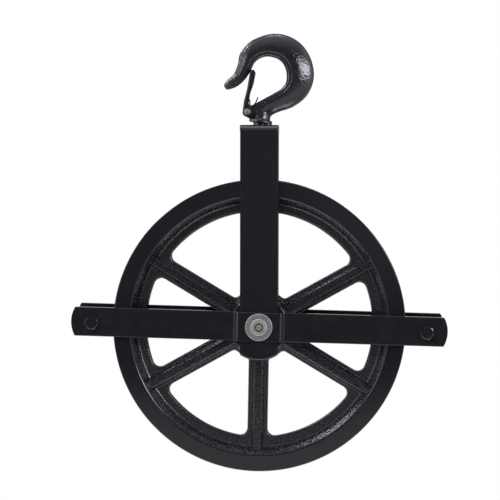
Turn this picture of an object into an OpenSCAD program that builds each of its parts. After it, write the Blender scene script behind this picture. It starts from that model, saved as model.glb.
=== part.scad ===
// Hoisting pulley: a spoked cast-iron rope wheel in a bent flat-bar yoke,
// with two rope guards across it and a latched swivel hook on top.
// Millimetres. The origin is the wheel's centre, on the axle. X is to the right,
// +Z is up, and the front, with the grease nipple, faces -Y.

/* [Wheel] */
// Outer diameter of the wheel over its flanges
wheel_d = 304.8; // [250:0.2:370]
// Width of the wheel across its flanges
wheel_w = 42; // [38:0.5:52]
// Radius of the rounded bottom of the rope groove
groove_r = 12; // [9:0.5:13]
// Depth of the rope groove below the flange edge
groove_depth = 21.4; // [16:0.2:23]
// Flare of each groove wall from the radial direction
groove_flare = 12; // [6:1:16]
// Radial width of the flat face on each flange
flange_face_w = 18; // [15:0.5:22]
// Radial width of the sloping cove under the flange face
cove_w = 7.4; // [6:0.2:9]
// Radial width of the flat web ring inside the cove
web_ring_w = 8; // [7:0.2:14]
// Thickness of the web and the spokes
web_t = 9; // [7:0.5:12]
// Number of spokes
spoke_n = 6; // [5:1:8]
// Width of each spoke
spoke_w = 20.4; // [16:0.2:24]
// Width of the raised rib along the top of each spoke
rib_w = 7; // [5:0.5:8]
// Height of each rib above the web
rib_h = 6.5; // [4:0.5:8]
// Sideways draft of each rib flank
rib_draft = 2.6; // [1:0.1:3]
// Corner radius of a window at the rim
window_r_out = 8; // [4:0.5:10]
// Corner radius of a window at the hub
window_r_in = 5.3; // [3:0.1:6]
// Turn of the wheel at rest, counted clockwise from one spoke straight up
wheel_turn = 1; // [0:1:30]

/* [Hub and axle] */
// Diameter of the hub boss at its end face
boss_d = 61; // [50:1:66]
// Radial width of the boss's sloping flank
boss_slope_w = 2.6; // [2:0.2:8]
// Radial width of the web ring round the boss's flank
hub_ring_w = 3.5; // [3:0.5:10]
// Diameter of the axle pin
axle_d = 16; // [13:0.2:20]
// Radial wall of the bush in the hub
bush_wall = 3; // [2:0.5:4]
// How far the axle's peened front end stands out past the pin
axle_peen = 0.8; // [0.5:0.1:2]
// Height of the axle's peened front end
axle_end_h = 2.4; // [1.5:0.1:4]
// Diameter of the axle's rear head
axle_head_d = 28; // [24:1:36]
// Thickness of the axle's rear head
axle_head_t = 5; // [3:0.5:8]
// Diameter of the front axle washer
axle_washer_d = 28.2; // [24:0.2:36]
// Thickness of the front axle washer
axle_washer_t = 3; // [2:0.5:5]
// Diameter of the recess that holds the grease nipple
nipple_recess_d = 9.2; // [8:0.2:11]
// Diameter of the grease nipple's head
nipple_head_d = 6.8; // [6:0.1:7.6]
// Outer diameter of the thrust washers beside the hub
thrust_washer_d = 34; // [28:1:44]
// Thickness of each thrust washer
thrust_washer_t = 1.6; // [1:0.1:2]

/* [Yoke] */
// Width of the yoke's flat bar
strap_w = 39.4; // [36:0.2:48]
// Thickness of the yoke's flat bar
strap_t = 5; // [4:0.5:6]
// Clearance between the wheel's flange and each leg of the yoke
side_room = 3; // [2.5:0.5:6]
// Room above the wheel's rim, up to the yoke's top face
yoke_room = 56.6; // [50:0.2:90]
// Inner radius of the yoke's two bends
yoke_bend_r = 2.5; // [1:0.5:5]
// Radius of the rounded foot of each leg
foot_r = 35.5; // [30:0.5:40]

/* [Guards] */
// Length of each rope guard beyond the middle of its bolts
guard_margin = 21.5; // [16:0.5:30]
// Width of the guards' flat bar
guard_w = 30.2; // [24:0.2:36]
// Thickness of the guards' flat bar
guard_t = 4; // [3:0.5:6]
// Radius of the guards' rounded ends
guard_end_r = 31; // [24:0.5:60]
// Lean of the guards from level, clockwise seen from the front
guard_lean = 1.5; // [0:0.1:3]
// Distance from the wheel's rim to the middle of each guard bolt
bolt_room = 21.6; // [14:0.2:30]
// How far the guard bolts sit below the middle of the guards
bolt_drop = 1; // [0:0.1:4]
// Steepness of the step that carries a guard over the yoke
joggle_angle = 55; // [40:1:65]

/* [Guard bolts] */
// Thread diameter of the guard bolts
bolt_d = 8; // [6:1:10]
// Width across the flats of the bolt heads and nuts
bolt_af = 13; // [12:0.5:17]
// Height of a bolt head
bolt_head_h = 5.3; // [4:0.1:7]
// Length of thread that shows past a nut
bolt_over = 5.6; // [2:0.2:12]
// Height of a nut
nut_h = 6.8; // [5:0.1:8]
// Outer diameter of the washers under the nuts
washer_d = 16; // [14:1:20]
// Thickness of the washers under the nuts
washer_t = 1.6; // [1:0.1:2.5]
// Outer diameter of the spacer tubes
spacer_d = 14; // [12:0.5:18]

/* [Hook] */
// Lean of the hook from upright, clockwise seen from the front
hook_lean = 8.5; // [4:0.5:9]
// Diameter of the hook's shank
shank_d = 15; // [13:0.5:18]
// Diameter of the hook's flange above the yoke
hook_flange_d = 24.4; // [22:0.2:26]
// Thickness of the hook's flange
hook_flange_t = 3.8; // [3:0.1:4.4]
// Clear diameter of the hook's bowl
bowl_d = 36.8; // [34:0.2:45]
// Height of the lowest point of the bowl above the hook's pivot
neck_l = 39.1; // [38:0.2:44]
// Outer diameter of the swivel washer under the yoke
swivel_washer_d = 32; // [28:1:38]
// Thickness of the swivel washer
swivel_washer_t = 3; // [2:0.5:4]
// Width across the flats of the slotted hook nut
hook_nut_af = 21; // [19:0.5:24]
// Height of the slotted hook nut
hook_nut_h = 16; // [12:0.5:18]

/* [Latch] */
// Distance of the latch pin from the hook's axis
latch_pin_x = 15.2; // [15:0.1:17]
// Height of the latch pin above the hook's pivot
latch_pin_h = 14.1; // [13.8:0.1:16]
// Height of the latch's tip above the middle of the bowl
latch_over = 0.8; // [0:0.1:2]
// Outer width of the latch channel
latch_w = 17.2; // [16:0.2:21]
// Thickness of the latch sheet
latch_t = 1.4; // [1:0.1:2]
// Diameter of the latch pin
latch_pin_d = 4.84; // [4:0.02:5]
// Diameter of the latch pin's rivet heads
latch_head_d = 7.4; // [6.5:0.1:8]
// Thickness of the hook's lug for the latch
lug_t = 5.4; // [4:0.2:6]
// Wire diameter of the latch spring
spring_wire_d = 1; // [0.8:0.1:1.1]

/* [Hidden] */
$fn = 64;

// Clearances: a running fit on the radius, a loose hole on the radius, and a light gap
run_gap = 0.05;
loose_gap = 0.3;
seat_gap = 0.1;

// Wheel, worked out from its outer radius inwards
wheel_r = wheel_d / 2;
half_w = wheel_w / 2;
half_web = web_t / 2;
groove_c = wheel_r - groove_depth + groove_r;
face_r = wheel_r - flange_face_w;
crease_r = face_r - cove_w;
window_r = crease_r - web_ring_w;
rim_edge_r = 1.5;
cove_foot = 2;
leg_in = half_w + side_room;
hub_half = leg_in - thrust_washer_t - 2 * seat_gap - 0.2;
boss_r = boss_d / 2;
hub_ring_r = boss_r + boss_slope_w + hub_ring_w;
bush_r = axle_d / 2 + run_gap;
bush_out_r = bush_r + bush_wall;

// Frame, worked out from the wheel outwards
leg_out = leg_in + strap_t;
guard_out = leg_out + guard_t;
guard_low = leg_in + guard_t;
axle_face = guard_out + axle_washer_t;
axle_end_r = axle_d / 2 + axle_peen;
yoke_h = wheel_r + yoke_room;
plate_bottom = yoke_h - strap_t;
pivot_h = yoke_h - strap_t / 2;
step_in = strap_w / 2 * cos(guard_lean) + guard_w / 2 * sin(guard_lean) + 0.3;
bolt_r = bolt_d / 2;
bolt_x = wheel_r + bolt_room;
guard_half = bolt_x + guard_margin;
bolt_l = 2 * guard_low + washer_t + nut_h + bolt_over;

// Hook joint: the leaning flange and nut clear the flat plate and washer by seat_gap
shank_r = shank_d / 2;
shank_hole_r = shank_r / cos(hook_lean) + strap_t / 2 * tan(hook_lean) + 0.54;
washer_top = plate_bottom - seat_gap;
washer_low = washer_top - swivel_washer_t;
washer_hole_r = shank_r / cos(hook_lean) + (pivot_h - washer_low) * tan(hook_lean) + 0.3;
flange_r = hook_flange_d / 2;
flange_low = (strap_t / 2 + flange_r * sin(hook_lean) + seat_gap) / cos(hook_lean);
nut_corner_r = hook_nut_af / 2 / cos(30);
nut_top = (pivot_h - washer_low + nut_corner_r * sin(hook_lean) + seat_gap) / cos(hook_lean);
nut_low = nut_top + hook_nut_h;
thread_r = shank_r - 0.5;
split_pin_r = 1.6;
split_pin_z = nut_low - 2.6;
shank_low = nut_low + 2;

// Hook and latch, in the hook's own frame. The stations of the hook are drawn round
// a bowl of radius drawn_r, and move out or in with the bowl. The latch is drawn for
// a pin at drawn_pin_x and a tip at drawn_over.
bowl_r = bowl_d / 2;
drawn_r = 18.4;
drawn_pin_x = 15.2;
drawn_over = 0.8;
tip_slope = 0.34;
spread = bowl_r - drawn_r;
bowl_h = neck_l + bowl_r;
pin_at = [-latch_pin_x, latch_pin_h];
pin_r = latch_pin_d / 2;
ear_r = 5.1;
latch_in = latch_w / 2 - latch_t;
latch_top = bowl_h + latch_over;

// Unit vector, and the arc of points about a centre
function unit(v) = v / norm(v);
function turn(angle) = [cos(angle), sin(angle)];
function arc(c, r, a0, a1, n) = [for (i = [0:n]) c + r * turn(a0 + (a1 - a0) * i / n)];

// Difference of two directions, from -180 to 180
function swing(a0, a1) = let (d = a1 - a0) d > 180 ? d - 360 : d < -180 ? d + 360 : d;

// One corner of an outline rounded to radius r, a plain point where r is 0
function corner(before, at, after, r, step) =
    r == 0 ? [at] :
    let (u = unit(before - at), v = unit(after - at))
    let (half = acos(max(-1, min(1, u * v))) / 2)
    let (c = at + unit(u + v) * r / sin(half))
    let (p0 = at + u * r / tan(half) - c, p1 = at + v * r / tan(half) - c)
    let (a0 = atan2(p0[1], p0[0]), sweep = swing(a0, atan2(p1[1], p1[0])))
    arc(c, r, a0, a0 + sweep, max(2, ceil(abs(sweep) / step)));

// A closed outline of [x, y, corner radius] with its corners rounded
function rounded(points, step = 15) =
    let (n = len(points), xy = [for (p = points) [p[0], p[1]]])
    [for (i = [0:n - 1])
        each corner(xy[(i + n - 1) % n], xy[i], xy[(i + 1) % n], points[i][2], step)];

// A smooth curve through a list of stations, k steps to each gap
function smooth_at(a, b, c, d, t) =
    ((2 * b) + (c - a) * t + (2 * a - 5 * b + 4 * c - d) * t * t
        + (3 * b - a - 3 * c + d) * t * t * t) / 2;
function smooth(list, k) =
    let (n = len(list))
    [for (i = [0:n - 2], j = [0:k - 1])
        smooth_at(list[max(i - 1, 0)], list[i], list[i + 1], list[min(i + 2, n - 1)], j / k),
        list[n - 1]];

// Triangles that join rings of m points, with both ends closed
function skin_faces(rows, m) = concat(
    [for (i = [0:rows - 2], j = [0:m - 1]) [i * m + j, (i + 1) * m + (j + 1) % m, (i + 1) * m + j]],
    [for (i = [0:rows - 2], j = [0:m - 1]) [i * m + j, i * m + (j + 1) % m, (i + 1) * m + (j + 1) % m]],
    [for (j = [1:m - 2]) [0, j + 1, j]],
    [for (j = [1:m - 2]) [(rows - 1) * m, (rows - 1) * m + j, (rows - 1) * m + j + 1]]);
module skin(rings) {
    m = len(rings[0]);
    polyhedron([for (r = rings) each r], skin_faces(len(rings), m));
}

// Stand a flat outline up in the XZ plane, from y0 to y1
module upright(y0, y1) {
    translate([0, y1, 0])
        rotate([90, 0, 0])
            linear_extrude(y1 - y0)
                children();
}
// Turn a shape made about Z so that it lies along the axle, its +Z end at the front
module along_axle() {
    rotate([90, 0, 0])
        children();
}
// Lean the guards about the axle
module leaned() {
    rotate([0, guard_lean, 0])
        children();
}
// Move a shape to the guard bolt on one side
module at_bolt(side) {
    translate([side * bolt_x, 0, -bolt_drop])
        children();
}
// Put a shape at the hook, which leans about its pivot in the yoke's top plate
module at_hook() {
    translate([0, 0, pivot_h])
        rotate([0, hook_lean, 0])
            children();
}

// A flat ring about Z
module ring(outer, inner, low, high) {
    translate([0, 0, low])
        linear_extrude(high - low)
            difference() {
                circle(outer);
                circle(inner);
            }
}
// A hexagon with its corners turned off at one or both ends
module hex_body(af, low, high, top_chamfer, low_chamfer) {
    r = af / 2 / cos(30);
    cut = 0.9 * (r - af / 2);
    edge = cut * tan(30) * 1.6;
    t = top_chamfer ? edge : 0;
    b = low_chamfer ? edge : 0;
    intersection() {
        translate([0, 0, low])
            cylinder(h = high - low, r = r, $fn = 6);
        rotate_extrude()
            polygon([
                [0, low], [low_chamfer ? r - cut * 1.3 : r + 1, low],
                [r + 1 - (low_chamfer ? 1 : 0), low + b], [r + 1 - (top_chamfer ? 1 : 0), high - t],
                [top_chamfer ? r - cut * 1.3 : r + 1, high], [0, high]
            ]);
    }
}

// Rim section, as [radius, width] points: groove, flanges, and the coves down to the web
module rim_section() {
    wall = groove_c - groove_r * sin(groove_flare);
    wall_y = groove_r * cos(groove_flare);
    lip_y = wall_y + (wheel_r - wall) * tan(groove_flare);
    half = [
        [wheel_r, lip_y, rim_edge_r], [wheel_r, half_w, rim_edge_r], [face_r, half_w, 2],
        [crease_r, half_web + cove_foot, 3], [crease_r - cove_foot, half_web, 0], [crease_r - cove_foot, 0, 0]
    ];
    for (side = [1, -1])
        scale([1, side])
            polygon(concat(
                arc([groove_c, 0], groove_r, 180, 90 + groove_flare, 9),
                rounded(half, 20)));
}
// One window between two spokes, centred on the X axis
module window() {
    side = spoke_w / 2;
    half = 180 / spoke_n;
    a_out = half - asin((side + window_r_out) / (window_r - window_r_out));
    a_in = half - asin((side + window_r_in) / (hub_ring_r + window_r_in));
    upper = concat(
        arc([0, 0], window_r, 0, a_out, 6),
        arc((window_r - window_r_out) * turn(a_out), window_r_out, a_out, half + 90, 6),
        arc((hub_ring_r + window_r_in) * turn(a_in), window_r_in, half + 90, a_in + 180, 5));
    lower = [for (i = [len(upper) - 1:-1:1]) [upper[i][0], -upper[i][1]]];
    polygon(concat(upper, lower));
}
module spoke_rib() {
    rotate([0, 90, 0])
        translate([0, 0, boss_r])
            linear_extrude(crease_r + 3 - boss_r)
                for (side = [1, -1])
                    scale([side, 1])
                        polygon([
                            [0, rib_w / 2 + rib_draft], [half_web, rib_w / 2 + rib_draft],
                            [half_web + rib_h, rib_w / 2], [half_web + rib_h, -rib_w / 2],
                            [half_web, -rib_w / 2 - rib_draft], [0, -rib_w / 2 - rib_draft]
                        ]);
}
module hub_section() {
    flank = boss_r + boss_slope_w;
    polygon(rounded([
        [bush_out_r + 0.02, -hub_half, 0], [boss_r, -hub_half, 1.5], [flank, -half_web - 1.5, 2],
        [flank + 2, -half_web, 0], [flank + 2, half_web, 0], [flank, half_web + 1.5, 2],
        [boss_r, hub_half, 1.5], [bush_out_r + 0.02, hub_half, 0]
    ], 30));
}
module wheel() {
    color([0.13, 0.13, 0.14])
        along_axle()
            rotate([0, 0, 90 - wheel_turn]) {
                rotate_extrude($fn = 128)
                    rim_section();
                translate([0, 0, -half_web])
                    linear_extrude(web_t)
                        difference() {
                            circle(crease_r, $fn = 128);
                            circle(boss_r);
                            for (i = [0:spoke_n - 1])
                                rotate((i + 0.5) * 360 / spoke_n)
                                    window();
                        }
                rotate_extrude()
                    hub_section();
                for (i = [0:spoke_n - 1])
                    rotate([0, 0, i * 360 / spoke_n])
                        spoke_rib();
            }
}
module wheel_bush() {
    color([0.72, 0.55, 0.32])
        along_axle()
            ring(bush_out_r, bush_r, -hub_half, hub_half);
}
module thrust_washer(side) {
    color([0.6, 0.6, 0.62])
        scale([1, side, 1])
            along_axle()
                ring(thrust_washer_d / 2, axle_d / 2 + loose_gap,
                    leg_in - seat_gap - thrust_washer_t, leg_in - seat_gap);
}
module axle_pin() {
    grease_r = 2.5;
    seat = axle_face + axle_end_h;
    color([0.72, 0.72, 0.74])
        along_axle()
            difference() {
                rotate_extrude()
                    polygon([
                        [0, -guard_out - axle_head_t], [axle_head_d / 2 - 1.5, -guard_out - axle_head_t],
                        [axle_head_d / 2, -guard_out - axle_head_t + 1.5], [axle_head_d / 2, -guard_out],
                        [axle_d / 2, -guard_out], [axle_d / 2, axle_face], [axle_end_r, axle_face],
                        [axle_end_r, seat - 1], [axle_end_r - 1, seat], [0, seat]
                    ]);
                translate([0, 0, -2])
                    cylinder(h = seat + 3, r = grease_r);
                translate([0, 0, seat - 4.5])
                    cylinder(h = 5, r = nipple_recess_d / 2);
                translate([0, 0, 0])
                    rotate([90, 0, 0])
                        cylinder(h = axle_d, r = 1.5, center = true);
            }
}
module axle_washer() {
    r = axle_washer_d / 2;
    color([0.66, 0.66, 0.68])
        along_axle()
            rotate_extrude()
                polygon([
                    [axle_d / 2 + run_gap, guard_out], [r, guard_out], [r, axle_face - 0.6],
                    [r - 0.6, axle_face], [axle_d / 2 + run_gap, axle_face]
                ]);
}
module grease_nipple() {
    seat = axle_face + axle_end_h;
    head_r = nipple_head_d / 2;
    color([0.75, 0.62, 0.36])
        along_axle()
            difference() {
                rotate_extrude()
                    polygon([
                        [0, seat - 9], [2.46, seat - 9], [2.46, seat - 4.5], [head_r, seat - 4.5],
                        [head_r, seat - 1.2], [head_r - 1, seat - 0.3], [0, seat - 0.3]
                    ]);
                translate([0, 0, seat - 10])
                    cylinder(h = 11, r = 0.9);
            }
}

// The yoke's bent section in YZ, cut from the bar that its front outline gives
module yoke() {
    low = foot_r + 1;
    bend_out = yoke_bend_r + strap_t;
    color([0.1, 0.1, 0.11])
        difference() {
            intersection() {
                translate([-strap_w / 2, 0, 0])
                    rotate([90, 0, 90])
                        linear_extrude(strap_w)
                            polygon(rounded([
                                [-leg_out, -low, 0], [-leg_out, yoke_h, bend_out], [leg_out, yoke_h, bend_out],
                                [leg_out, -low, 0], [leg_in, -low, 0], [leg_in, plate_bottom, yoke_bend_r],
                                [-leg_in, plate_bottom, yoke_bend_r], [-leg_in, -low, 0]
                            ], 12));
                upright(-leg_out - 1, leg_out + 1)
                    union() {
                        translate([-strap_w, 0])
                            square([2 * strap_w, yoke_h + 1]);
                        circle(foot_r, $fn = 96);
                    }
            }
            along_axle()
                cylinder(h = 2 * leg_out + 2, r = axle_d / 2 + run_gap, center = true);
            translate([0, 0, plate_bottom - 1])
                cylinder(h = strap_t + 2, r = shank_hole_r);
        }
}

// Half of a guard's plan, stepped out over the yoke's leg, seen from above
module guard_plan() {
    rise = strap_t;
    run = rise / tan(joggle_angle);
    lead = guard_t * tan(joggle_angle / 2);
    half = guard_half + 1;
    polygon(rounded([
        [-half, -leg_in, 0], [-step_in - run, -leg_in, 1.5], [-step_in, -leg_out, 1],
        [step_in, -leg_out, 1], [step_in + run, -leg_in, 1.5], [half, -leg_in, 0],
        [half, -guard_low, 0], [step_in + run + lead, -guard_low, 1.5], [step_in + lead, -guard_out, 3],
        [-step_in - lead, -guard_out, 3], [-step_in - run - lead, -guard_low, 1.5], [-half, -guard_low, 0]
    ], 20));
}
module guard(side) {
    color([0.1, 0.1, 0.11])
        leaned()
            scale([1, side, 1])
                difference() {
                    intersection() {
                        translate([0, 0, -guard_w / 2])
                            linear_extrude(guard_w)
                                guard_plan();
                        upright(-guard_out - 1, -leg_in + 1)
                            guard_shape();
                    }
                    along_axle()
                        translate([0, 0, leg_in])
                            cylinder(h = guard_out, r = axle_d / 2 + run_gap);
                    for (end = [-1, 1])
                        at_bolt(end)
                            along_axle()
                                translate([0, 0, leg_in - 1])
                                    cylinder(h = guard_out, r = bolt_r + 0.2);
                }
}
// Front outline of a guard: a bar with bowed ends
module guard_shape() {
    inner = guard_half - guard_end_r;
    rise = asin(guard_w / 2 / guard_end_r);
    polygon(concat(
        arc([inner, 0], guard_end_r, -rise, rise, 8),
        arc([-inner, 0], guard_end_r, 180 - rise, 180 + rise, 8)));
}
module guard_spacer(side) {
    color([0.1, 0.1, 0.11])
        leaned()
            at_bolt(side)
                along_axle()
                    ring(spacer_d / 2, bolt_r + 0.2, -leg_in, leg_in);
}
// Bolt head turned by its own angle, as the photograph shows it
module guard_bolt(side, twist) {
    end = guard_low - bolt_l;
    color([0.12, 0.12, 0.13])
        leaned()
            at_bolt(side)
                along_axle() {
                    rotate([0, 0, twist])
                        hex_body(bolt_af, guard_low, guard_low + bolt_head_h, true, false);
                    rotate_extrude()
                        polygon([
                            [0, end], [bolt_r - 0.8, end], [bolt_r, end + 0.8],
                            [bolt_r, guard_low + 1], [0, guard_low + 1]
                        ]);
                }
}
module guard_washer(side) {
    color([0.12, 0.12, 0.13])
        leaned()
            at_bolt(side)
                along_axle()
                    ring(washer_d / 2, bolt_r + 0.2, -guard_low - washer_t, -guard_low);
}
module guard_nut(side, twist) {
    top = -guard_low - washer_t;
    color([0.12, 0.12, 0.13])
        leaned()
            at_bolt(side)
                along_axle()
                    rotate([0, 0, twist])
                        difference() {
                            hex_body(bolt_af, top - nut_h, top, true, true);
                            translate([0, 0, top - nut_h - 1])
                                cylinder(h = nut_h + 2, r = bolt_r + run_gap);
                        }
}

module swivel_washer() {
    color([0.45, 0.45, 0.47])
        ring(swivel_washer_d / 2, washer_hole_r, washer_low, washer_top);
}

// Stations along the middle of the forged hook, from its tip round to its neck:
// [x, z from the bowl's centre, half depth in the plane, half thickness]
hook_line = [
    [-42.3, -21.8, 2.1, 2.2], [-41.0, -20.6, 3.6, 3.3], [-37.5, -17.1, 5.4, 4.5],
    [-32.8, -12.8, 6.2, 5.5], [-28.9, -7.4, 6.6, 6.2], [-26.6, -1.6, 7.3, 6.7],
    [-24.9, 4.8, 7.8, 7.1], [-23.4, 12.9, 9.2, 7.8], [-18.3, 20.7, 10.4, 8.5],
    [-9.8, 26.2, 10.9, 9.0], [0.6, 29.2, 12.3, 9.6], [11.8, 28.5, 13.3, 10.0],
    [22.2, 23.3, 14.0, 10.2], [29.9, 13.8, 14.3, 10.4], [33.8, 1.6, 14.3, 10.5],
    [32.1, -11.1, 13.2, 10.4], [23.6, -21.2, 12.4, 10.1], [13.4, -29.3, 10.0, 9.4],
    [5.2, -34.6, 9.7, 9.0], [1.8, -41.3, 8.8, 8.4], [1.3, -46.4, 8.1, 7.8], [0.8, -50.6, 8.2, 7.6]
];
ring_sides = 14;
function section(p, dir, i) =
    let (a = 360 * i / ring_sides, c = cos(a), s = sin(a), e = 2 / 2.4)
    let (u = sign(c) * pow(abs(c), e) * p[2], v = sign(s) * pow(abs(s), e) * p[3])
    let (at = [p[0], p[1]] + spread * unit([p[0], p[1]]))
    [at[0] - u * dir[1], v, bowl_h + at[1] + u * dir[0]];
function hook_rings(line) =
    let (n = len(line))
    [for (i = [0:n - 1])
        let (a = line[max(i - 1, 0)], b = line[min(i + 1, n - 1)])
        let (dir = unit([b[0] - a[0], b[1] - a[1]]))
        [for (j = [0:ring_sides - 1]) section(line[i], dir, j)]];
// Plate that carries the latch pin: an eye, and a web from it to the bowl, the neck and
// the flange
module hook_lug() {
    flange_top = flange_low + hook_flange_t;
    upright(-lug_t / 2, lug_t / 2)
        union() {
            translate(pin_at)
                circle(ear_r + 0.2);
            polygon([
                pin_at + [-3.2, -3.8], [1.2 - flange_r, flange_top - 1], [0, flange_top - 1.8],
                [9, neck_l - 9], [5.5, neck_l - 4.5], pin_at + [0.3, ear_r + 0.2]
            ]);
        }
}
module hook() {
    low = -shank_low;
    top = flange_low + hook_flange_t;
    color([0.1, 0.11, 0.13])
        at_hook()
            difference() {
                union() {
                    skin(hook_rings(smooth(hook_line, 2)));
                    rotate_extrude()
                        polygon([
                            [0, low], [thread_r - 1, low], [thread_r, low + 1], [thread_r, -nut_top + 1],
                            [shank_r, -nut_top + 1.5], [shank_r, flange_low], [flange_r - 0.6, flange_low],
                            [flange_r, flange_low + 0.6], [flange_r, top - 1], [flange_r - 1, top],
                            [flange_r - 1.5, top + 0.3], [flange_r - 1.3, top + 2], [flange_r - 2.6, top + 4],
                            [0, top + 4]
                        ]);
                    hook_lug();
                }
                translate([pin_at[0], 0, pin_at[1]])
                    rotate([90, 0, 0])
                        cylinder(h = 3 * lug_t, r = pin_r + 0.03, center = true);
                translate([0, 0, -split_pin_z])
                    rotate([90, 0, 0])
                        cylinder(h = 2 * shank_d, r = split_pin_r + 0.15, center = true);
            }
}
module hook_nut() {
    color([0.14, 0.14, 0.15])
        at_hook()
            difference() {
                hex_body(hook_nut_af, -nut_low, -nut_top, true, true);
                translate([0, 0, -nut_low - 1])
                    cylinder(h = hook_nut_h + 2, r = thread_r + run_gap);
                for (a = [30:60:150])
                    rotate([0, 0, a])
                        translate([-hook_nut_af, -2, -nut_low - 1])
                            cube([2 * hook_nut_af, 4, 6]);
            }
}
// Split pin: two legs through the shank, an eye at the front and both ends turned out behind
module hook_split_pin() {
    reach = hook_nut_af / 2 + 2.1;
    color([0.55, 0.55, 0.57])
        at_hook()
            translate([0, 0, -split_pin_z]) {
                rotate([90, 0, 0])
                    cylinder(h = 2 * reach, r = split_pin_r, center = true);
                translate([0, -reach - 1.6, 0])
                    rotate([0, 90, 0])
                        rotate_extrude()
                            translate([2.6, 0])
                                circle(0.9, $fn = 20);
                for (side = [-1, 1])
                    translate([side * 0.5, reach - 1.1, 0])
                        rotate([0, side * 90, 0])
                            cylinder(h = 6, r = 0.8);
            }
}

// A corner of the latch's outline: beside the pin by dx, at height z, rounded to r.
// The tip stays at the hook's tip when the pin is moved or the bowl is made wider.
function latch_corner(dx, z, r) =
    let (share = (z - pin_at[1]) / (latch_top - pin_at[1]))
    [dx + pin_at[0] * (1 - share) - (drawn_pin_x + spread) * share, z, r];
// The latch's tip lies along the hook's edge, which leans in as it rises
tip_dx = tip_slope * (latch_over - drawn_over);

// Side outline of the latch, clockwise from its outer edge round to the foot
module latch_side() {
    z = pin_at[1];
    polygon(rounded(concat(
        [
            latch_corner(-5.3, z + 10.6, 12), latch_corner(-3.9, z + 23.6, 20),
            latch_corner(tip_dx - 3.6, latch_top - 3.2, 4), latch_corner(tip_dx - 2.5, latch_top, 0.6),
            latch_corner(0.7, latch_top, 1.6), latch_corner(2.2, latch_top - 2.4, 2),
            latch_corner(1.8, z + 30.6, 20), latch_corner(-0.3, z + 19.5, 8), latch_corner(-0.2, z + 9.5, 4)
        ],
        [for (p = arc(pin_at, ear_r, 35, -180, 12)) [p[0], p[1], 0]]), 20));
}
// The channel's inside, open towards the bowl and clear round the lug
module latch_hollow() {
    z = pin_at[1];
    web_low = z + 11;
    corners = [
        latch_corner(latch_t - 5.3, web_low, 0), latch_corner(latch_t - 3.9, z + 23.6, 0),
        latch_corner(tip_dx + latch_t - 3.6, latch_top - 3.2, 0),
        latch_corner(tip_dx + latch_t - 1.8, latch_top + 2, 0), [0, latch_top + 2], [0, z - 12],
        [-2 * latch_pin_x, z - 12], [-2 * latch_pin_x, web_low]
    ];
    polygon([for (c = corners) [c[0], c[1]]]);
}
module latch() {
    color([0.16, 0.16, 0.17])
        at_hook()
            difference() {
                upright(-latch_w / 2, latch_w / 2)
                    latch_side();
                upright(-latch_in, latch_in)
                    latch_hollow();
                translate([pin_at[0], 0, pin_at[1]])
                    rotate([90, 0, 0])
                        cylinder(h = 2 * latch_w, r = pin_r + 0.08, center = true);
            }
}
module latch_pin() {
    head_r = latch_head_d / 2;
    face = latch_w / 2 + seat_gap;
    color([0.75, 0.75, 0.77])
        at_hook()
            translate([pin_at[0], 0, pin_at[1]])
                rotate([90, 0, 0])
                    rotate_extrude()
                        polygon(concat(
                            [[0, -face - 1.9]],
                            [for (a = [75:-15:15]) [head_r * cos(a), -face - 1.9 * sin(a)]],
                            [[head_r, -face], [pin_r, -face], [pin_r, face], [head_r, face]],
                            [for (a = [15:15:75]) [head_r * cos(a), face + 1.9 * sin(a)]],
                            [[0, face + 1.9]]));
}

// Latch spring: one wire, wound on the pin at both sides of the lug. Each end rests on
// the hook, and a bridge between the coils presses the latch shut.
coil_r = pin_r + spring_wire_d / 2 + 0.6;
coil_in = lug_t / 2 + spring_wire_d / 2 + 0.5;
coil_out = latch_in - spring_wire_d / 2 - 0.3;
leg_a = 134;
bridge_a = 18;
coil_turn = 360 + 360 + bridge_a - leg_a;
coil_steps = 14;
leg_end = [8.5, 17];
leg_bend = [7, 11];
bridge_end = [-1.8, 16.8];
function spring_end() = [
    concat(leg_end, [coil_in]), concat(leg_bend, [coil_in]),
    concat(coil_r * turn(leg_a) + 3.5 * turn(leg_a - 90), [coil_in])
];
function spring_coil() = [for (i = [0:coil_steps])
    concat(coil_r * turn(leg_a + coil_turn * i / coil_steps),
        [coil_in + (coil_out - coil_in) * i / coil_steps])];
function spring_bridge() = [
    concat(bridge_end, [coil_out]), concat(bridge_end + [-0.1, 1], [coil_out - 1])
];
function spring_half() = concat(spring_end(), spring_coil(), spring_bridge());
function spring_path() =
    let (half = spring_half())
    concat(
        [for (p = half) [p[0], -p[2], p[1]]],
        [for (i = [len(half) - 1:-1:0]) [half[i][0], half[i][2], half[i][1]]]);
function wire_ring(path, i, r, sides) =
    let (n = len(path), dir = unit(path[min(i + 1, n - 1)] - path[max(i - 1, 0)]))
    let (side = unit(cross(dir, abs(dir[0]) < 0.8 ? [1, 0, 0] : [0, 0, 1])), up = cross(side, dir))
    [for (k = [0:sides - 1]) path[i] + r * (cos(360 * k / sides) * side + sin(360 * k / sides) * up)];
module latch_spring() {
    path = spring_path();
    color([0.5, 0.5, 0.52])
        at_hook()
            translate([pin_at[0], 0, pin_at[1]])
                skin([for (i = [0:len(path) - 1]) wire_ring(path, i, spring_wire_d / 2, 6)]);
}
coil_gap = (coil_out - coil_in) * 360 / coil_turn - spring_wire_d;
echo(latch_spring_gap = coil_gap);

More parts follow.
